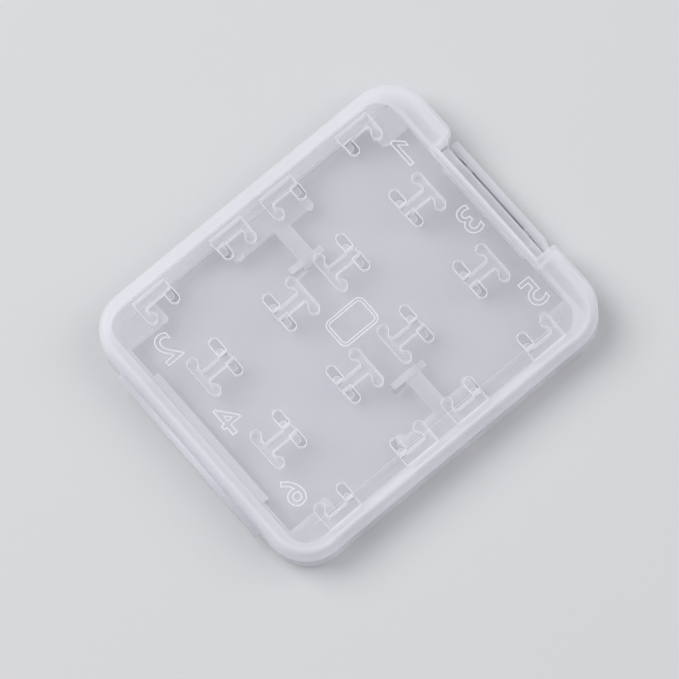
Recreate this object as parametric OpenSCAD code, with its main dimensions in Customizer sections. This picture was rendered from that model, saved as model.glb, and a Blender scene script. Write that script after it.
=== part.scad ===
// Pocket case for memory cards: two shallow clamshell halves joined by a moulded hinge strip.
// The base holds one large card and one stick-shaped card, the lid holds six small cards.
// Millimetres. +Z is up, +X points from the hinge to the latch. The case is closed and lies on
// its base, with the origin on the table under the middle of its outline, hinge strip included.

/* [Shells] */
// Length of both shells, from the hinge side to the latch side
shell_l = 53; // [53:0.5:60]
// Width of both shells
shell_w = 44; // [44:0.5:50]
// Height of the base up to the parting plane
base_h = 3.2; // [3.2:0.1:5]
// Height of the lid above the parting plane
lid_h = 3.2; // [3:0.1:5]
// Corner radius of both shells, seen from above
corner_r = 5.8; // [5:0.1:7]
// Radius of the outer edge round the top and the bottom
edge_r = 1.0; // [0.5:0.1:1.1]
// Thickness of the outer walls
wall = 1.2; // [1:0.05:1.3]
// Thickness of the base's floor
floor_t = 1.0; // [0.9:0.05:1.2]
// Thickness of the lid's roof under the raised rim
roof_t = 1.2; // [1:0.05:1.4]
// Gap between the two rims
parting_gap = 0.1; // [0.05:0.05:0.2]

/* [Recessed panels] */
// Length of the lid's recessed panel
panel_l = 46.8; // [44:0.2:47]
// Width of the lid's recessed panel
panel_w = 36.4; // [34:0.2:38]
// Distance of the lid's panel from the middle, towards the hinge
panel_shift = 0.8; // [0.6:0.1:1]
// Corner radius of the lid's panel
panel_r = 2.4; // [1.5:0.1:3]
// Depth of the lid's panel
panel_depth = 0.4; // [0.2:0.05:0.5]
// Width of the frame left round the recess under the base
foot_w = 4.6; // [4.4:0.1:6]
// Depth of the recess under the base
foot_h = 0.3; // [0.2:0.05:0.4]

/* [Alignment ridges] */
// Length of each ridge on the base's long sides
ridge_l = 38; // [30:1:40]
// Thickness of a ridge
ridge_t = 0.8; // [0.6:0.05:0.9]
// Height of a ridge above the base's rim
ridge_h = 0.8; // [0.6:0.1:1]
// Gap between a ridge and the lid's wall
ridge_gap = 0.1; // [0.05:0.05:0.2]

/* [Cards] */
// Width of the large card
card_w = 24; // [23.5:0.1:24.2]
// Length of the large card
card_l = 32; // [31:0.1:32.4]
// Thickness of the large card
card_t = 2.1; // [1.8:0.1:2.1]
// Width of the stick-shaped card
stick_w = 20; // [19.4:0.1:20.2]
// Length of the stick-shaped card
stick_l = 31; // [30:0.1:31.6]
// Thickness of the stick-shaped card
stick_t = 1.6; // [1.4:0.1:1.6]
// Width of a small card
small_w = 11; // [10.6:0.1:11.2]
// Length of a small card
small_l = 15; // [14.6:0.1:15.2]
// Thickness of a small card
small_t = 1.0; // [0.8:0.05:1]
// Play between a card and each wall beside it
card_play = 0.15; // [0.1:0.05:0.2]
// Gap between a card and the lip over it
lip_play = 0.05; // [0.05:0.05:0.1]

/* [Base fittings] */
// Width of the divider between the two card bays
divider_w = 2.0; // [1.6:0.1:2.2]
// Length of the open gap between the two dividers
divider_gap = 19.5; // [16:0.5:22]
// Distance of the two bays from the middle, towards the hinge
bay_shift = 0.2; // [0:0.05:0.4]
// Length of the finger notch in each end of the large card's bay
card_notch = 11.5; // [10:0.5:13]
// Length of the finger notch in each end of the stick's bay
stick_notch = 12; // [10:0.5:13]
// Thickness of the lips over the two large cards
bay_lip_t = 0.35; // [0.3:0.05:0.4]
// Width of a rounded lip on an end ledge
tab_w = 1.3; // [1:0.1:1.6]
// How far a rounded lip reaches over the card
tab_reach = 0.65; // [0.4:0.05:0.8]
// Width of the finger on a divider's end
finger_w = 0.9; // [0.7:0.1:1.2]
// How far that finger reaches over the large card
card_finger = 2.1; // [1.4:0.1:2.4]
// How far that finger reaches over the stick
stick_finger = 1.2; // [0.8:0.1:1.4]
// Length of the lip along the hinge side of the large card's bay
side_lip_l = 22; // [18:0.5:26]
// How far that lip reaches over the card
side_lip_reach = 0.7; // [0.4:0.05:0.8]
// Thickness of the wall between the stick's bay and the latch
stick_wall = 0.75; // [0.6:0.05:0.8]
// Length of the lip on that wall
stick_lip_l = 16; // [12:0.5:18]
// How far that lip reaches over the stick
stick_lip_reach = 0.6; // [0.4:0.05:0.7]

/* [Lid fittings] */
// Distance of the small cards' middles from the middle of the case
small_x = 10.65; // [10.5:0.05:10.8]
// Thickness of the rib between two small cards
rib_t = 1.4; // [1:0.1:1.5]
// Thickness of the stop bar at a small card's end
bar_t = 0.95; // [0.8:0.05:1]
// Length of a stop bar beyond the rib, on each side
bar_reach = 2.3; // [1.8:0.1:2.6]
// How far a stop bar's rounded ends stand out towards the card
nub_reach = 0.5; // [0.3:0.05:0.55]
// Distance of the lips from a small card's middle
lip_x = 4.5; // [4:0.1:5]
// Width of the windows in the roof over the lips
window_w = 1.25; // [1.1:0.05:1.4]
// Width of a lip
lip_w = 1.0; // [0.8:0.05:1]
// How far a lip reaches over a small card
lip_reach = 1.2; // [0.8:0.1:1.4]
// Thickness of a lip
lip_t = 0.45; // [0.3:0.05:0.5]

/* [Latch] */
// Length of the notch in the lid's latch side
notch_l = 19.9; // [16:0.1:20]
// Distance from the shell's side to the notch's inner wall
notch_depth = 3.1; // [3:0.05:3.2]
// Thickness of the notch's walls
notch_wall = 0.7; // [0.6:0.05:0.8]
// How far the slanted end of the notch cuts into the side
slant_x = 1.3; // [1:0.1:1.3]
// How far the slanted end runs along the side
slant_y = 1.0; // [0.8:0.1:1.4]
// Slit between each end of the latch tab and the base
tab_slit = 0.3; // [0.2:0.05:0.4]
// Height of the slot under the latch tab
tab_lift = 0.25; // [0.25:0.05:0.3]
// Thickness of the flexing strip under the latch tab
root_t = 0.4; // [0.3:0.05:0.5]
// Length of the slant on the latch tab's free end
tab_slant = 1.75; // [1:0.05:2]
// Distance between the two snap points
snap_pitch = 11.4; // [8:0.2:13]
// Length of a snap bead
snap_l = 1.2; // [0.8:0.1:1.6]
// How far the hook's beads and the tab's beads overlap, so that the lid has to snap past
snap_bite = 0.15; // [0.1:0.01:0.2]
// Gap between them in the closed case
snap_play = 0.05; // [0.03:0.01:0.1]
// Thickness of the lid's hook
hook_t = 0.8; // [0.7:0.05:0.85]
// Depth of the hook below the lid's rim
hook_drop = 1.3; // [1.2:0.05:1.35]
// Gap between the hook and the stick's wall
hook_gap = 0.2; // [0.15:0.05:0.2]
// Thickness of the shelf that carries the hook
shelf_t = 0.7; // [0.5:0.05:0.8]

/* [Hinge strip] */
// Length of the hinge strip
hinge_l = 27.7; // [20:0.1:30]
// Thickness of the hinge strip
hinge_t = 0.36; // [0.25:0.01:0.4]
// How far the closed strip bulges from the shells
hinge_out = 0.88; // [0.7:0.02:1]

/* [Hidden] */
$fn = 48;
milky = [0.86, 0.87, 0.91];
frosted = [0.78, 0.80, 0.86];
over = 1; // how far a cutting shape runs past the face that it opens

case_h = base_h + lid_h;
middle_x = hinge_out / 2; // the shells' middle, with the whole outline centred on the origin
side_x = shell_l / 2;
side_y = shell_w / 2;
rim_z = base_h - parting_gap / 2;
lid_rim_z = base_h + parting_gap / 2;
roof_z = case_h - roof_t;

// The base's cavity: its long sides are thicker by the ridge that stands on them
base_in_x = side_x - wall;
base_in_y = side_y - wall - ridge_gap - ridge_t;
cavity_r = corner_r - wall;

// The two card bays, hinge side first
card_bay_w = card_w + 2 * card_play;
stick_bay_w = stick_w + 2 * card_play;
bay_x0 = -(card_bay_w + divider_w + stick_bay_w) / 2 - bay_shift;
divider_x = bay_x0 + card_bay_w;
stick_x0 = divider_x + divider_w;
stick_x1 = stick_x0 + stick_bay_w;
card_end_y = card_l / 2 + card_play;
stick_end_y = stick_l / 2 + card_play;
card_lip_z = floor_t + card_t + lip_play;
stick_lip_z = floor_t + stick_t + lip_play;
card_notch_x = (bay_x0 + divider_x - card_notch) / 2;
stick_notch_x = (stick_x0 + stick_x1 - stick_notch) / 2;
finger_play = 0.1; // how much wider the floor's windows are than the lips above them
side_lip_root = 1; // how far the long lip reaches back onto its rail
shelf_play = 0.2; // how much shorter the hook's shelf is than the tab, at each end
hook_past = 1; // how far the hook runs past the beads, at each end

// The small cards in the lid: three rows, two columns
row_pitch = small_w + 2 * card_play + rib_t;
clip_z = roof_z - small_t - lip_play - lip_t;
tip_in_x = small_x - small_l / 2 - card_play / 2;
tip_out_x = small_x + small_l / 2 + card_play / 2;
edge_rib_y = 1.5 * row_pitch - rib_t / 2;
clip_end_y = base_in_y - ridge_gap;

// The latch
notch_x = side_x - notch_depth;
notch_y = notch_l / 2;
tab_x = side_x - wall;
tab_y = notch_y - tab_slit;
tab_z = floor_t + tab_lift;
hook_x = stick_x1 + stick_wall + hook_gap;
hook_z = lid_rim_z - hook_drop;
shelf_l = 2 * (tab_y - shelf_play);
hook_l = snap_pitch + snap_l + 2 * hook_past;
snap_gap = tab_x - hook_x - hook_t; // between the hook's outer face and the tab's inner one
snap_r = (snap_gap + snap_bite) / 2; // of a bead
bead_z = hook_z + snap_r;
nub_z = bead_z + sqrt(pow(2 * snap_r + snap_play, 2) - pow(snap_gap, 2));

// Plan of a rectangle with round corners, middle on the origin
module round_rect(l, w, r) {
    square([l - 2 * r, w], center = true);
    square([l, w - 2 * r], center = true);
    for (x = [-1, 1], y = [-1, 1])
        translate([x * (l / 2 - r), y * (w / 2 - r)]) circle(r);
}

// Everything is drawn about the shells' middle and put in its place here
module in_case() {
    translate([middle_x, 0, 0]) children();
}

// Shell blank, open face up: round corners and a rounded lower edge
module soft_blank(h) {
    cx = side_x - corner_r;
    cy = side_y - corner_r;
    module edge_profile() {
        difference() {
            square([corner_r, h]);
            difference() {
                translate([corner_r - edge_r, -over]) square([edge_r + over, edge_r + over]);
                translate([corner_r - edge_r, edge_r]) circle(edge_r);
            }
        }
    }
    translate([-cx, -cy, 0]) cube([2 * cx, 2 * cy, h]);
    for (q = [0 : 3])
        rotate([0, 0, 90 * q]) {
            ex = q % 2 == 0 ? cx : cy;
            ey = q % 2 == 0 ? cy : cx;
            translate([ex, ey, 0]) rotate_extrude(angle = 90) edge_profile();
            translate([ex, ey, 0]) rotate([90, 0, 0]) linear_extrude(2 * ey) edge_profile();
        }
}

// Outline of the notch on the latch side: one end is square, the other slants outwards
module notch_plan() {
    polygon([[notch_x, -notch_y], [side_x + over, -notch_y],
        [side_x + over, notch_y + (slant_x + over) * slant_y / slant_x],
        [side_x - slant_x, notch_y], [notch_x, notch_y]]);
}

// Outline of the latch tab: square at one end, slanted at the other
module tab_plan() {
    polygon([[tab_x, -tab_y], [side_x - wall / 2, -tab_y], [side_x, -tab_y + tab_slant],
        [side_x, tab_y], [tab_x, tab_y]]);
}

// Plan of a tongue with a round end that points to +Y
module tongue_plan(w, reach) {
    translate([-w / 2, 0]) square([w, reach - w / 2]);
    translate([0, reach - w / 2]) circle(w / 2);
}

module base_shell() {
    color(milky) in_case() difference() {
        union() {
            soft_blank(rim_z);
            for (s = [-1, 1])
                translate([-ridge_l / 2, s > 0 ? base_in_y : -base_in_y - ridge_t, floor_t])
                    cube([ridge_l, ridge_t, rim_z + ridge_h - floor_t]);
        }
        // Cavity
        translate([0, 0, floor_t]) linear_extrude(case_h)
            round_rect(2 * base_in_x, 2 * base_in_y, cavity_r);
        // Recess under the floor
        translate([0, 0, -over]) linear_extrude(foot_h + over)
            round_rect(shell_l - 2 * foot_w, shell_w - 2 * foot_w, panel_r);
        // Opening for the latch tab, and the two finger notches at its ends
        translate([0, 0, floor_t]) linear_extrude(case_h) intersection() {
            notch_plan();
            translate([tab_x - over, -shell_w]) square([wall + 3 * over, 2 * shell_w]);
        }
        translate([0, 0, -over]) linear_extrude(case_h) difference() {
            intersection() {
                notch_plan();
                translate([tab_x, -shell_w]) square([wall + 2 * over, 2 * shell_w]);
            }
            tab_plan();
            translate([tab_x, -tab_y + tab_slant]) square([wall + 2 * over, 2 * tab_y - tab_slant]);
        }
        // Windows in the floor under the lips
        translate([bay_x0, -side_lip_l / 2 - finger_play, -over])
            cube([side_lip_reach + finger_play, side_lip_l + 2 * finger_play, floor_t + 2 * over]);
        for (s = [-1, 1])
            translate([divider_x - card_finger - finger_play,
                s * (divider_gap + finger_w) / 2 - finger_w / 2 - finger_play, -over])
                cube([card_finger + finger_play, finger_w + 2 * finger_play, floor_t + 2 * over]);
        // Windows under the snap beads of the tab
        for (s = [-1, 1])
            translate([tab_x - 2 * snap_r, s * snap_pitch / 2 - snap_l / 2, -over])
                cube([2 * snap_r, snap_l, floor_t + 2 * over]);
    }
}

// Rail between the hinge side and the large card
module hinge_side_rail() {
    color(frosted) in_case() translate([0, 0, floor_t]) linear_extrude(card_lip_z - floor_t)
        intersection() {
            translate([-base_in_x, -card_end_y]) square([bay_x0 + base_in_x, 2 * card_end_y]);
            round_rect(2 * base_in_x, 2 * base_in_y, cavity_r);
        }
}

// Wall between the stick and the latch
module latch_side_rail() {
    color(frosted) in_case() translate([stick_x1, -stick_end_y, floor_t])
        cube([stick_wall, 2 * stick_end_y, stick_lip_z - floor_t]);
}

// One end ledge from x0 to x1, with its face at y0 and its top at z1
module end_ledge(x0, x1, y0, z1) {
    translate([0, 0, floor_t]) linear_extrude(z1 - floor_t) intersection() {
        translate([x0, y0]) square([x1 - x0, base_in_y - y0]);
        round_rect(2 * base_in_x, 2 * base_in_y, cavity_r);
    }
}

// The ledges at one end of the bays, on both sides of each finger notch
module end_ledges() {
    end_ledge(-base_in_x, card_notch_x, card_end_y, card_lip_z);
    end_ledge(card_notch_x + card_notch, stick_x0, card_end_y, card_lip_z);
    end_ledge(stick_x0, stick_notch_x, stick_end_y, stick_lip_z);
    end_ledge(stick_notch_x + stick_notch, stick_x1 + stick_wall, stick_end_y, stick_lip_z);
}

module back_end_ledges() {
    color(frosted) in_case() end_ledges();
}

module front_end_ledges() {
    color(frosted) in_case() mirror([0, 1, 0]) end_ledges();
}

// Two short walls between the bays
module bay_dividers() {
    color(frosted) in_case() for (m = [0, 1]) mirror([0, m, 0])
        translate([divider_x, divider_gap / 2, floor_t])
            cube([divider_w, card_end_y - divider_gap / 2, card_lip_z - floor_t]);
}

// Rounded lip on an end ledge
module ledge_lip(x, y0, z) {
    translate([x, y0 + tab_w, z]) linear_extrude(bay_lip_t)
        mirror([0, 1]) tongue_plan(tab_w, tab_w + tab_reach);
}

// Lips over the two large cards: rounded ones on the ledges, fingers on the dividers and a
// straight one on each rail
module bay_lips() {
    color(frosted) in_case() {
        for (m = [0, 1]) mirror([0, m, 0]) {
            ledge_lip(card_notch_x - tab_w / 2, card_end_y, card_lip_z);
            ledge_lip(card_notch_x + card_notch + tab_w / 2, card_end_y, card_lip_z);
            ledge_lip(stick_notch_x - tab_w / 2, stick_end_y, stick_lip_z);
            ledge_lip(stick_notch_x + stick_notch + tab_w / 2, stick_end_y, stick_lip_z);
            translate([divider_x - card_finger, divider_gap / 2, card_lip_z])
                cube([card_finger + divider_w, finger_w, bay_lip_t]);
            translate([stick_x0, divider_gap / 2, stick_lip_z])
                cube([stick_finger, finger_w, bay_lip_t]);
        }
        translate([bay_x0 - side_lip_root, -side_lip_l / 2, card_lip_z])
            cube([side_lip_root + side_lip_reach, side_lip_l, bay_lip_t]);
        translate([stick_x1 - stick_lip_reach, -stick_lip_l / 2, stick_lip_z])
            cube([stick_wall + stick_lip_reach, stick_lip_l, bay_lip_t]);
    }
}

// Plan of the windows over one rib, at both lips of the column's two cards
module rib_windows(rib_y) {
    for (c = [-1, 1], e = [-1, 1])
        translate([c * small_x + e * lip_x, rib_y])
            children();
}

module lid_shell() {
    window_reach = rib_t / 2 + bar_reach;
    color(milky) in_case() difference() {
        union() {
            difference() {
                translate([0, 0, case_h]) mirror([0, 0, 1]) soft_blank(case_h - lid_rim_z);
                // Cavity, kept away from the notch
                translate([0, 0, -over]) linear_extrude(roof_z + over) difference() {
                    round_rect(shell_l - 2 * wall, shell_w - 2 * wall, cavity_r);
                    translate([notch_x - notch_wall, -notch_y - notch_wall])
                        square([notch_depth + over, notch_l + 2 * notch_wall]);
                }
                // Notch
                translate([0, 0, -over]) linear_extrude(case_h + 2 * over) notch_plan();
            }
            // Shelf across the notch, which carries the hook
            translate([notch_x - notch_wall, -shelf_l / 2, lid_rim_z])
                cube([hook_x + hook_t - notch_x + notch_wall, shelf_l, shelf_t]);
        }
        // Recessed panel on the outside
        translate([-panel_shift, 0, case_h - panel_depth]) linear_extrude(panel_depth + over)
            round_rect(panel_l, panel_w, panel_r);
        // Windows over the lips of the two ribs between the rows
        translate([0, 0, clip_z]) linear_extrude(case_h)
            for (r = [-1, 1]) rib_windows(r * row_pitch / 2) for (m = [0, 1]) mirror([0, m])
                translate([0, rib_t / 2]) tongue_plan(window_w, window_reach - rib_t / 2);
        // Windows over the lips along the two long sides
        translate([0, 0, clip_z]) linear_extrude(case_h)
            for (m = [0, 1]) mirror([0, m]) rib_windows(0)
                translate([0, panel_w / 2]) mirror([0, 1])
                    tongue_plan(window_w, panel_w / 2 - edge_rib_y + bar_reach);
    }
}

// Stop bar whose two ends curl towards the card on its +X side
module stop_bar_plan(y0, y1, end0, end1) {
    nub_r = (bar_t + nub_reach) / 2;
    square_y0 = end0 ? y0 + nub_r : y0;
    square_y1 = end1 ? y1 - nub_r : y1;
    translate([0, square_y0]) square([bar_t, square_y1 - square_y0]);
    if (end0) translate([nub_r, y0 + nub_r]) circle(nub_r);
    if (end1) translate([nub_r, y1 - nub_r]) circle(nub_r);
}

// Stop bars at the ends of the small cards
module small_card_stop_bars() {
    reach = rib_t / 2 + bar_reach;
    color(frosted) in_case() translate([0, 0, clip_z]) linear_extrude(roof_z - clip_z)
        for (c = [0, 1]) mirror([c, 0]) for (e = [-1, 1]) {
            tip_x = e < 0 ? tip_in_x : tip_out_x;
            translate([tip_x, 0]) mirror([e > 0 ? 1 : 0, 0]) translate([-bar_t - nub_reach, 0]) {
                for (r = [-1, 1]) translate([0, r * row_pitch / 2])
                    stop_bar_plan(-reach, reach, true, true);
                for (m = [0, 1]) mirror([0, m])
                    stop_bar_plan(edge_rib_y - bar_reach, clip_end_y, true, false);
            }
        }
}

// Repeats its child at both ends of the small cards in both columns
module at_card_ends() {
    for (c = [0, 1]) mirror([c, 0, 0])
        for (e = [0, 1]) translate([e * 2 * small_x, 0, 0]) mirror([e, 0, 0]) children();
}

// Ribs beside the small cards, from the stop bars to the far side of the lips' windows
module small_card_ribs() {
    rib_x = tip_in_x - nub_reach;
    rib_l = small_x - lip_x + window_w / 2 - rib_x;
    color(frosted) in_case() at_card_ends() translate([rib_x, 0, clip_z]) {
        for (r = [-1, 1]) translate([0, r * row_pitch / 2 - rib_t / 2, 0])
            cube([rib_l, rib_t, roof_z - clip_z]);
        for (m = [0, 1]) mirror([0, m, 0]) translate([0, edge_rib_y, 0])
            cube([rib_l, clip_end_y - edge_rib_y, roof_z - clip_z]);
    }
}

// Round-ended lips on the ribs, each over one edge of a small card and under a window
module small_card_lips() {
    color(frosted) in_case() at_card_ends()
        translate([small_x - lip_x, 0, clip_z]) linear_extrude(lip_t) {
            for (r = [-1, 1], m = [0, 1])
                translate([0, r * row_pitch / 2]) mirror([0, m]) translate([0, rib_t / 2])
                    tongue_plan(lip_w, lip_reach);
            for (m = [0, 1]) mirror([0, m]) translate([0, edge_rib_y]) mirror([0, 1])
                tongue_plan(lip_w, lip_reach);
        }
}

// Bead of a snap point, lying along Y
module snap_bead(x, z) {
    for (s = [-1, 1])
        translate([x, s * snap_pitch / 2 + snap_l / 2, z]) rotate([90, 0, 0])
            cylinder(r = snap_r, h = snap_l);
}

// Hook that hangs from the lid's shelf into the base, with two beads on its outer face
module latch_hook() {
    color(frosted) in_case() {
        translate([hook_x, -hook_l / 2, hook_z]) cube([hook_t, hook_l, lid_rim_z - hook_z]);
        snap_bead(hook_x + hook_t, bead_z);
    }
}

// Springy tab of the base, which the thumb pulls outwards; its beads hold those of the hook
module latch_tab() {
    color(milky) in_case() {
        translate([0, 0, tab_z]) linear_extrude(rim_z - tab_z) tab_plan();
        snap_bead(tab_x, nub_z);
    }
}

// Thin strip that joins the tab to the floor and bends with it
module latch_tab_root() {
    color(frosted) in_case()
        translate([side_x - wall / 2 - root_t / 2, -tab_y + tab_slant, floor_t])
            cube([root_t, 2 * tab_y - tab_slant, tab_lift]);
}

// Moulded hinge: a thin strip that folds into a half tube when the case is closed
module hinge_strip() {
    color(frosted) in_case() translate([-side_x, hinge_l / 2, base_h]) rotate([90, 0, 0])
        linear_extrude(hinge_l) difference() {
            circle(hinge_out);
            circle(hinge_out - hinge_t);
            translate([0, -2 * hinge_out]) square([2 * hinge_out, 4 * hinge_out]);
        }
}

base_shell();
hinge_side_rail();
latch_side_rail();
back_end_ledges();
front_end_ledges();
bay_dividers();
bay_lips();
lid_shell();
small_card_stop_bars();
small_card_ribs();
small_card_lips();
latch_hook();
latch_tab();
latch_tab_root();
hinge_strip();
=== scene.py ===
"""Pocket case for memory cards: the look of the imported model. Metres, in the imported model's frame."""

import math
from contextlib import contextmanager

import bmesh
import bpy
from mathutils import Matrix, Vector


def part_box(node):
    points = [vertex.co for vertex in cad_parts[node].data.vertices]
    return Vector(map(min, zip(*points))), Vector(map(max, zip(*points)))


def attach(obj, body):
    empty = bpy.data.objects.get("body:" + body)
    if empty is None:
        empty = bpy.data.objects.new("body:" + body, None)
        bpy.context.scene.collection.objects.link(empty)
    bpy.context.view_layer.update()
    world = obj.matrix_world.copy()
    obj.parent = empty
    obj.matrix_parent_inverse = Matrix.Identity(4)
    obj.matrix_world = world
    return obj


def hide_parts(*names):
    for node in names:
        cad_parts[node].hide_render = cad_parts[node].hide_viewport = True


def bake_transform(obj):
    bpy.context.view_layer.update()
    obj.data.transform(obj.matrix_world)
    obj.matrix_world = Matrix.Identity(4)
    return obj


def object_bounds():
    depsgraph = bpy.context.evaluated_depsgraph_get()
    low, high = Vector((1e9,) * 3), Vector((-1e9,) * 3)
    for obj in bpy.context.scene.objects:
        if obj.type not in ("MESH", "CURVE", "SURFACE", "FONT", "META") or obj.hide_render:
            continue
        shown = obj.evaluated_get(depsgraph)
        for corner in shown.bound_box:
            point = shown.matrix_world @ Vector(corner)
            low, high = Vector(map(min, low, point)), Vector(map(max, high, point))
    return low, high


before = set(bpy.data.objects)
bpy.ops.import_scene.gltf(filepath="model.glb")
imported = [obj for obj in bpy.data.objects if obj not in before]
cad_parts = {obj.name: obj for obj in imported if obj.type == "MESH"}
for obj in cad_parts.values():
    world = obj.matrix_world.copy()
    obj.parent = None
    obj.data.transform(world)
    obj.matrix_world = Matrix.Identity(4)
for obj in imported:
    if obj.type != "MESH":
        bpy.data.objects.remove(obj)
cad_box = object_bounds()
MM = 0.001

# Sizes taken from the frame
lid_low, lid_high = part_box("lid_shell")
base_low, base_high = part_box("base_shell")
middle_x = (lid_low.x + lid_high.x) / 2
roof_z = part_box("small_card_ribs")[1].z


def case_point(x, y, z):
    """A point in mm, x and y from the middle of the shells, in metres in the model's frame."""
    return Vector((middle_x + x * MM, y * MM, z * MM))


# Materials
IOR = 1.49
FAR_SIDE = 0.45   # share of the scattered light that leaves on a surface's far side
CLOUDED = 0.9   # brightness of the clouds in the plastic, of its own
CLOUDS, SMEARS, GRAIN = (70, 2), (900, 4), (2500, 3)   # scale per metre and detail of each noise
ROUGHNESS_SPREAD = (0.8, 1.25)   # least and most, of its mean
GRAIN_DEPTH = 0.01 * MM
# The rim's top is clear inside this round rectangle and frosted over the thick walls
CLEAR_X, CLEAR_Y = (-24.3, 22.4), (-20.1, 20.1)   # mm
CLEAR_R = 3.0 * MM
CLEAR_FADE = 0.15 * MM


def connect(tree, node, inputs):
    """Sets each of a node's inputs to a value, or links it to a socket."""
    for name, value in inputs.items():
        if isinstance(value, bpy.types.NodeSocket):
            tree.links.new(value, node.inputs[name])
        else:
            node.inputs[name].default_value = value


def shader_node(tree, kind, inputs, operation=None):
    """Adds a shader node with its inputs."""
    node = tree.nodes.new("ShaderNode" + kind)
    if operation:
        node.operation = operation
    connect(tree, node, inputs)
    return node


def noise(tree, place, scale, detail):
    """A noise through the piece, from 0 to 1."""
    inputs = {"Vector": place, "Scale": scale, "Detail": detail}
    return shader_node(tree, "TexNoise", inputs).outputs["Fac"]


def mapped(tree, value, low, high, start=0.0, end=1.0):
    """Goes from low to high while the value goes from start to end."""
    inputs = {"Value": value, "From Min": start, "From Max": end, "To Min": low, "To Max": high}
    return shader_node(tree, "MapRange", inputs).outputs["Result"]


def milk_by_place(tree, place, outside, inside):
    """The share of milk outside and inside the clear round rectangle, with a short fade."""
    low, high = (case_point(x, y, 0) for x, y in zip(CLEAR_X, CLEAR_Y))
    half = (high - low) / 2
    core = Vector((half.x - CLEAR_R, half.y - CLEAR_R, 1))   # 1 m high, so that height doesn't count

    def step(operation, value, other=(0, 0, 0), output="Vector"):
        return shader_node(tree, "VectorMath", {0: value, 1: other}, operation).outputs[output]

    from_middle = step("ABSOLUTE", step("SUBTRACT", place, (low + high) / 2))
    past_core = step("MAXIMUM", step("SUBTRACT", from_middle, core))
    distance = step("LENGTH", past_core, output="Value")
    return mapped(tree, distance, inside, outside, CLEAR_R - CLEAR_FADE, CLEAR_R + CLEAR_FADE)


def plastic(name, colour, roughness, milk, grain, milk_inside=None):
    """Translucent milky polypropylene with a fine moulded grain and slight clouding.

    milk is the share of light that each of its surfaces scatters; the rest goes through.
    milk_inside, where it is given, is that share inside the clear round rectangle."""
    material = bpy.data.materials.new(name)
    material.use_nodes = True
    tree = material.node_tree
    place = shader_node(tree, "TexCoord", {}).outputs["Object"]
    cloud = shader_node(tree, "MixRGB", {"Fac": noise(tree, place, *CLOUDS), "Color1": (*colour, 1),
                                         "Color2": (*[c * CLOUDED for c in colour], 1)})
    bump = shader_node(tree, "Bump", {"Strength": grain, "Distance": GRAIN_DEPTH,
                                      "Height": noise(tree, place, *GRAIN)})
    smoothest, roughest = (roughness * share for share in ROUGHNESS_SPREAD)
    near_side = tree.nodes["Principled BSDF"]
    connect(tree, near_side, {"IOR": IOR, "Base Color": cloud.outputs["Color"],
                              "Roughness": mapped(tree, noise(tree, place, *SMEARS), smoothest, roughest),
                              "Normal": bump.outputs["Normal"]})
    far_side = shader_node(tree, "BsdfTranslucent", {"Color": cloud.outputs["Color"]})
    scattered = shader_node(tree, "MixShader", {"Fac": FAR_SIDE, 1: near_side.outputs["BSDF"],
                                                2: far_side.outputs["BSDF"]})
    clear = shader_node(tree, "BsdfTransparent", {})
    share = milk if milk_inside is None else milk_by_place(tree, place, milk, milk_inside)
    surface = shader_node(tree, "MixShader", {"Fac": share, 1: clear.outputs["BSDF"],
                                              2: scattered.outputs["Shader"]})
    connect(tree, tree.nodes["Material Output"], {"Surface": surface.outputs["Shader"]})
    return material


# The same plastic: thin and glossy in the lid, milkier in the base's floor, thick, frosted over
# the walls, and white where it is flexed; its rounded edges and inner walls get a painted highlight
CLEAR = plastic("milky_panel", (0.84, 0.84, 0.89), roughness=0.2, milk=0.18, grain=0.1)
FLOOR = plastic("milky_floor", (0.88, 0.88, 0.93), roughness=0.25, milk=0.36, grain=0.1)
THICK = plastic("milky_fittings", (0.91, 0.91, 0.95), roughness=0.3, milk=0.5, grain=0.1)
FROSTED = plastic("frosted_rim", (0.91, 0.91, 0.95), roughness=0.42, milk=0.45, grain=0.3, milk_inside=0.18)
# Painted highlight: near-white and nearly opaque, for the rounded edges, inner walls and raised lines, in
# place of the light they catch
PAINTED_HIGHLIGHT = plastic("painted_edge_highlight", (0.99, 0.99, 1.0), roughness=0.3, milk=0.85, grain=0.1)
FLEXED = plastic("flexed_hinge", (0.92, 0.92, 0.97), roughness=0.35, milk=0.5, grain=0.2)
FINISHES = (CLEAR, FLOOR, THICK, FROSTED, PAINTED_HIGHLIGHT)

# Shells, each fused from the CAD nodes of its body
WELD, SEAM = 0.0005 * MM, 0.002 * MM   # how near two points are to be one, in a node and in a union
COPLANAR = math.radians(1)   # faces that meet at less are merged
SHARP = math.radians(35)   # edges at less are smooth, and the others are rounded
EDGE_R, EDGE_STEPS = 0.07 * MM, 2   # of the small rounded edges
LARGE_FACE_WEIGHT = 100   # the most, so that large flat faces keep their own normal


@contextmanager
def edited(piece):
    """A piece's mesh, open for changes."""
    mesh = bmesh.new()
    mesh.from_mesh(piece.data)
    yield mesh
    mesh.to_mesh(piece.data)
    mesh.free()


def apply_modifiers(piece):
    """Makes what a piece's modifiers show its own mesh."""
    graph = bpy.context.evaluated_depsgraph_get()
    mesh = bpy.data.meshes.new_from_object(piece.evaluated_get(graph))
    piece.modifiers.clear()
    piece.data = mesh


def node_copy(node):
    """A welded copy of a CAD node's mesh."""
    piece = bpy.data.objects.new(node + "_copy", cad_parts[node].data.copy())
    bpy.context.scene.collection.objects.link(piece)
    with edited(piece) as mesh:
        bmesh.ops.remove_doubles(mesh, verts=mesh.verts, dist=WELD)
    piece.data.materials.clear()
    return piece


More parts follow.
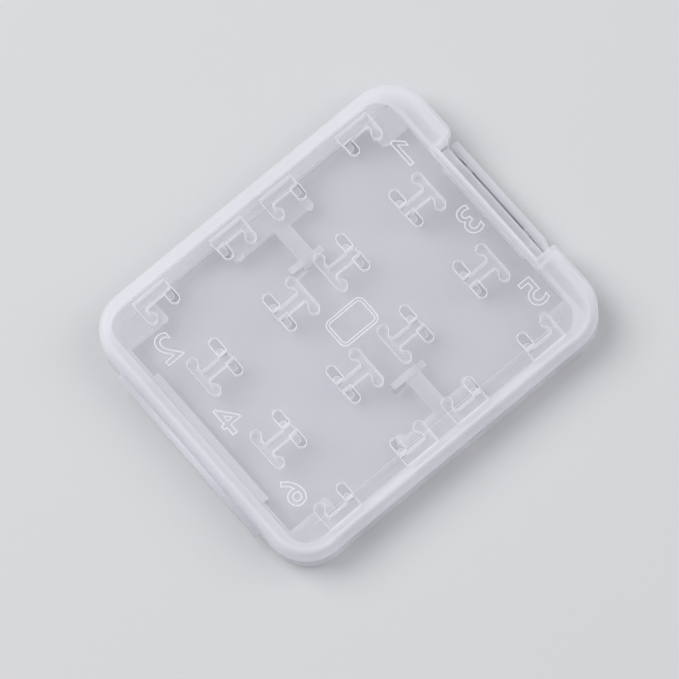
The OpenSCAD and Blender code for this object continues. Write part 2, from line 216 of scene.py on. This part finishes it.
def soften(piece, clamped):
    """Gives small rounded edges, in the near-white finish of a painted highlight, and keeps flat faces
    flat.
    """
    with edited(piece) as mesh:
        bmesh.ops.remove_doubles(mesh, verts=mesh.verts, dist=SEAM)
        bmesh.ops.dissolve_limit(mesh, angle_limit=COPLANAR, verts=mesh.verts, edges=mesh.edges)
    for finish in FINISHES:
        piece.data.materials.append(finish)
    bevel = piece.modifiers.new("edges", "BEVEL")
    bevel.width, bevel.segments, bevel.use_clamp_overlap = EDGE_R, EDGE_STEPS, clamped
    bevel.limit_method, bevel.angle_limit = "ANGLE", SHARP
    # The rounded edges take the painted highlight
    bevel.material = FINISHES.index(PAINTED_HIGHLIGHT)
    apply_modifiers(piece)
    with edited(piece) as mesh:
        for face in mesh.faces:
            face.smooth = True
        for edge in mesh.edges:
            edge.smooth = len(edge.link_faces) == 2 and edge.calc_face_angle(0) < SHARP
    normals = piece.modifiers.new("normals", "WEIGHTED_NORMAL")
    normals.weight, normals.keep_sharp = LARGE_FACE_WEIGHT, True
    apply_modifiers(piece)


def fused(name, nodes, body, clamped=False):
    """One continuous skin round several CAD nodes of a body, as the real moulding has."""
    piece = node_copy(nodes[0])
    piece.name = name
    for node in nodes[1:]:
        other = node_copy(node)
        union = piece.modifiers.new(node, "BOOLEAN")
        union.operation, union.solver, union.object = "UNION", "EXACT", other
        apply_modifiers(piece)
        bpy.data.objects.remove(other)
    soften(piece, clamped)
    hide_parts(*nodes)
    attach(piece, body)
    return piece


base = fused("base_moulding", ["base_shell", "hinge_side_rail", "latch_side_rail", "back_end_ledges",
                               "front_end_ledges", "bay_dividers", "bay_lips"], "base", clamped=True)
lid = fused("lid_moulding", ["lid_shell", "small_card_stop_bars", "small_card_ribs",
                             "small_card_lips", "latch_hook"], "lid")
tab = fused("tab_moulding", ["latch_tab"], "tab")

# Finish of each face
CORNER_R = 5.8 * MM   # of the shells, seen from above
FROST_DEPTH = 0.9 * MM   # of the outer band that is frosted on every side
FLAT = 0.7   # a face whose normal stands more upright than this is flat, the others are walls
PANEL_DEPTH, HAIR = 0.4 * MM, 0.005 * MM   # of the lid's recess, and to stay clear of its bottom
ROOF_BELOW = 0.2 * MM   # the roof's faces start this far below the ribs' tops
FLOOR_ABOVE = 1.2 * MM   # the floor's faces end this far above the base's foot


def depth_inside(point, low, high):
    """How far a point lies inside the round outline of a shell, given the shell's box."""
    centre, half = (low + high) / 2, (high - low) / 2
    past_x = abs(point.x - centre.x) - half.x + CORNER_R
    past_y = abs(point.y - centre.y) - half.y + CORNER_R
    return CORNER_R - math.hypot(max(past_x, 0), max(past_y, 0)) - min(max(past_x, past_y), 0)


def finish_faces(piece, low, high, thin_finish, is_thin, frost_z):
    """Frosts the outside and all above frost_z, tells thin faces and fittings apart, and paints highlights
    on edges and walls.
    """
    for face in piece.data.polygons:
        if depth_inside(face.center, low, high) < FROST_DEPTH or face.center.z > frost_z:
            finish = FROSTED
        # Rounded edges and inner walls: painted highlight, near-white and nearly opaque
        elif face.material_index == FINISHES.index(PAINTED_HIGHLIGHT) or abs(face.normal.z) < FLAT:
            finish = PAINTED_HIGHLIGHT
        else:
            finish = thin_finish if is_thin(face.center.z) else THICK
        face.material_index = FINISHES.index(finish)


finish_faces(lid, lid_low, lid_high, CLEAR, lambda z: z > roof_z - ROOF_BELOW,
             lid_high.z - PANEL_DEPTH + HAIR)
finish_faces(base, base_low, base_high, FLOOR, lambda z: z < base_low.z + FLOOR_ABOVE, base_high.z)
for face in tab.data.polygons:
    face.material_index = FINISHES.index(FROSTED)

# Hinge strip and tab root, which join two bodies, cut in rows up their height
HINGE_ROWS, ROOT_ROWS = 12, 3


def flexing(node, rows):
    """A CAD node's strip, cut in rows up its height, between its two bodies."""
    piece = node_copy(node)
    piece.name = node + "_flexing"
    low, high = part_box(node)
    with edited(piece) as mesh:
        for i in range(1, rows):
            bmesh.ops.bisect_plane(mesh, geom=mesh.verts[:] + mesh.edges[:] + mesh.faces[:],
                                   plane_co=low.lerp(high, i / rows), plane_no=Vector((0, 0, 1)))
    for face in piece.data.polygons:
        face.use_smooth = True
    piece.data.materials.append(FLEXED)
    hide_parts(node)
    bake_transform(piece)


flexing("hinge_strip", HINGE_ROWS)
flexing("latch_tab_root", ROOT_ROWS)

# Slot numbers and the bare frame, as raised lines under the roof, in mm about the case's middle
LINE_W, LINE_H = 0.16, 0.1   # of a raised line below the roof's inner face
LINE_SECTION = ((-0.5, -0.1), (-0.25, 1), (0.25, 1), (0.5, -0.1))   # across and down, of its sizes
MITRE_LIMIT = 2   # longest mitre of a corner, in widths of the line
NUMBER_HEIGHT = 4.0
SLOT_NUMBERS = {"2": (-20.1, 12.4), "4": (-20.1, -0.1), "6": (-20.1, -12.9),
                "1": (20.15, 12.5), "3": (20.3, -0.1), "5": (20.3, -12.9)}
GLYPH_BOLD, GLYPH_WELD = 0.008, 0.004   # of the font's size
GLYPH_STEPS = 4   # of each curve
# The font's 1 has no flag
ONE = [(0.0, 0.0), (0.55, 0.0), (0.55, 4.0), (0.05, 4.0), (-1.0, 2.95), (-1.0, 2.3), (0.0, 3.2)]
FRAME_X, FRAME_Y = (-2.9, 3.2), (-2.7, 1.5)
FRAME_R, FRAME_LINE = 0.9, 0.4
FRAME_CORNER_STEPS = 8


def raised_lines(name, loops):
    """A body with a raised line round each closed loop of (x, y) points."""
    mesh = bmesh.new()
    for loop in loops:
        count = len(loop)
        rows = []
        for i in range(count):
            before, here, after = (Vector(loop[k % count]) for k in (i - 1, i, i + 1))
            ahead = (after - here).normalized()
            along = ((here - before).normalized() + ahead).normalized()
            side = Vector((-along.y, along.x)) * LINE_W / max(along.dot(ahead), 1 / MITRE_LIMIT)
            rows.append([mesh.verts.new(case_point(*(here + side * across), roof_z / MM - down * LINE_H))
                         for across, down in LINE_SECTION])
        for i, row in enumerate(rows):
            following = rows[(i + 1) % count]
            for j in range(len(row)):
                k = (j + 1) % len(row)
                mesh.faces.new((row[j], row[k], following[k], following[j]))
    bmesh.ops.recalc_face_normals(mesh, faces=mesh.faces)
    data = bpy.data.meshes.new(name)
    mesh.to_mesh(data)
    mesh.free()
    piece = bpy.data.objects.new(name, data)
    bpy.context.scene.collection.objects.link(piece)
    # The raised lines are painted as highlights, in the near-white finish
    piece.data.materials.append(PAINTED_HIGHLIGHT)
    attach(piece, "lid")


def glyph_mesh(body):
    """A character of the built-in font, filled, as a mesh of its own."""
    text = bpy.data.curves.new("number", "FONT")
    text.body, text.resolution_u, text.offset = body, GLYPH_STEPS, GLYPH_BOLD
    shape = bpy.data.objects.new("number", text)
    bpy.context.scene.collection.objects.link(shape)
    bpy.context.view_layer.update()
    mesh = bmesh.new()
    mesh.from_mesh(shape.evaluated_get(bpy.context.evaluated_depsgraph_get()).to_mesh())
    bpy.data.objects.remove(shape)
    bmesh.ops.remove_doubles(mesh, verts=mesh.verts, dist=GLYPH_WELD)
    return mesh


def glyph_loops(body):
    """The closed outlines of a character, each a list of points."""
    mesh = glyph_mesh(body)
    rims = {edge for edge in mesh.edges if len(edge.link_faces) == 1}
    loops = []
    while rims:
        edge = min(rims, key=lambda e: e.index)
        point, loop = edge.verts[0], []
        while edge:
            rims.discard(edge)
            loop.append(point.co.xy.copy())
            point = edge.other_vert(point)
            edge = next((e for e in point.link_edges if e in rims), None)
        loops.append(loop)
    mesh.free()
    return loops


def slot_number(number, x, y):
    """A slot's number about (x, y), mirrored, because it reads from inside the lid."""
    loops = [[Vector(p) for p in ONE]] if number == "1" else glyph_loops(number)
    points = [p for loop in loops for p in loop]
    low, high = (Vector([pick(p[i] for p in points) for i in range(2)]) for pick in (min, max))
    middle, size = (low + high) / 2, NUMBER_HEIGHT / (high.y - low.y)
    raised_lines("slot_number_" + number, [[(x - (p.x - middle.x) * size, y + (p.y - middle.y) * size)
                                            for p in loop] for loop in loops])


def frame_loop(inset):
    """The frame's round rectangle, drawn in by inset."""
    radius = FRAME_R - inset
    points = []
    for quarter, (sx, sy) in enumerate(((1, 1), (-1, 1), (-1, -1), (1, -1))):
        for i in range(FRAME_CORNER_STEPS + 1):
            a = (quarter + i / FRAME_CORNER_STEPS) * math.pi / 2
            x = sx * ((FRAME_X[1] - FRAME_X[0]) / 2 - FRAME_R) + radius * math.cos(a)
            y = sy * ((FRAME_Y[1] - FRAME_Y[0]) / 2 - FRAME_R) + radius * math.sin(a)
            points.append((x + sum(FRAME_X) / 2, y + sum(FRAME_Y) / 2))
    return points


for number, (x, y) in SLOT_NUMBERS.items():
    slot_number(number, x, y)
raised_lines("bare_frame", [frame_loop(0), frame_loop(FRAME_LINE)])

# Camera, from the photograph
CAMERA_AZIMUTH, CAMERA_ELEVATION, CAMERA_ROLL = (math.radians(a) for a in (240.84, 73.78, -11.41))
CAMERA_DISTANCE = 0.842
CAMERA_LENS, CAMERA_SENSOR = 347.2, 36   # mm
CAMERA_TARGET = Vector((-1.88 * MM, -0.84 * MM, 3.2 * MM))
back = Vector((math.cos(CAMERA_ELEVATION) * math.cos(CAMERA_AZIMUTH),
               math.cos(CAMERA_ELEVATION) * math.sin(CAMERA_AZIMUTH), math.sin(CAMERA_ELEVATION)))
level = Vector((0, 0, 1)).cross(back).normalized()
upright = back.cross(level)
right = level * math.cos(CAMERA_ROLL) + upright * math.sin(CAMERA_ROLL)
up = upright * math.cos(CAMERA_ROLL) - level * math.sin(CAMERA_ROLL)
camera = bpy.data.objects.new("camera", bpy.data.cameras.new("camera"))
camera.data.lens, camera.data.sensor_width = CAMERA_LENS, CAMERA_SENSOR
camera.data.clip_start, camera.data.clip_end = 0.01, 10
turn = Matrix((right, up, back)).transposed().to_4x4()
camera.matrix_world = Matrix.Translation(CAMERA_TARGET + back * CAMERA_DISTANCE) @ turn
bpy.context.scene.collection.objects.link(camera)
bpy.context.scene.camera = camera

# Floor and studio light
FLOOR_HALF = 2.0   # m
FLOOR_GAP = 0.02 * MM
FLOOR_COLOUR, FLOOR_ROUGHNESS = (0.5, 0.5, 0.51, 1), 0.7
SKY_COLOUR, SKY_STRENGTH = (0.9, 0.92, 0.95, 1), 0.5
floor_mesh = bpy.data.meshes.new("floor")
floor_mesh.from_pydata([(x * FLOOR_HALF, y * FLOOR_HALF, 0) for x, y in
                        ((-1, -1), (1, -1), (1, 1), (-1, 1))], [], [(0, 1, 2, 3)])
floor = bpy.data.objects.new("floor", floor_mesh)
floor.location.z = cad_box[0][2] - FLOOR_GAP
floor_material = bpy.data.materials.new("floor")
floor_material.use_nodes = True
connect(floor_material.node_tree, floor_material.node_tree.nodes["Principled BSDF"],
        {"Base Color": FLOOR_COLOUR, "Roughness": FLOOR_ROUGHNESS})
floor.data.materials.append(floor_material)
bpy.context.scene.collection.objects.link(floor)


def softbox(name, place, size, power):
    """A square area lamp, in metres and watts, that faces the case."""
    lamp = bpy.data.lights.new(name, "AREA")
    lamp.shape, lamp.size, lamp.energy = "SQUARE", size, power
    piece = bpy.data.objects.new(name, lamp)
    piece.location = place
    piece.rotation_euler = (-Vector(place)).to_track_quat("-Z", "Y").to_euler()
    bpy.context.scene.collection.objects.link(piece)


softbox("key", (-0.25, 0.45, 0.7), size=0.6, power=6.5)
softbox("fill", (0.5, -0.3, 0.6), size=0.7, power=3)
world = bpy.data.worlds.new("world")
world.use_nodes = True
connect(world.node_tree, world.node_tree.nodes["Background"],
        {"Color": SKY_COLOUR, "Strength": SKY_STRENGTH})
bpy.context.scene.world = world
bpy.context.scene.view_settings.view_transform = "Standard"

bpy.context.view_layer.update()
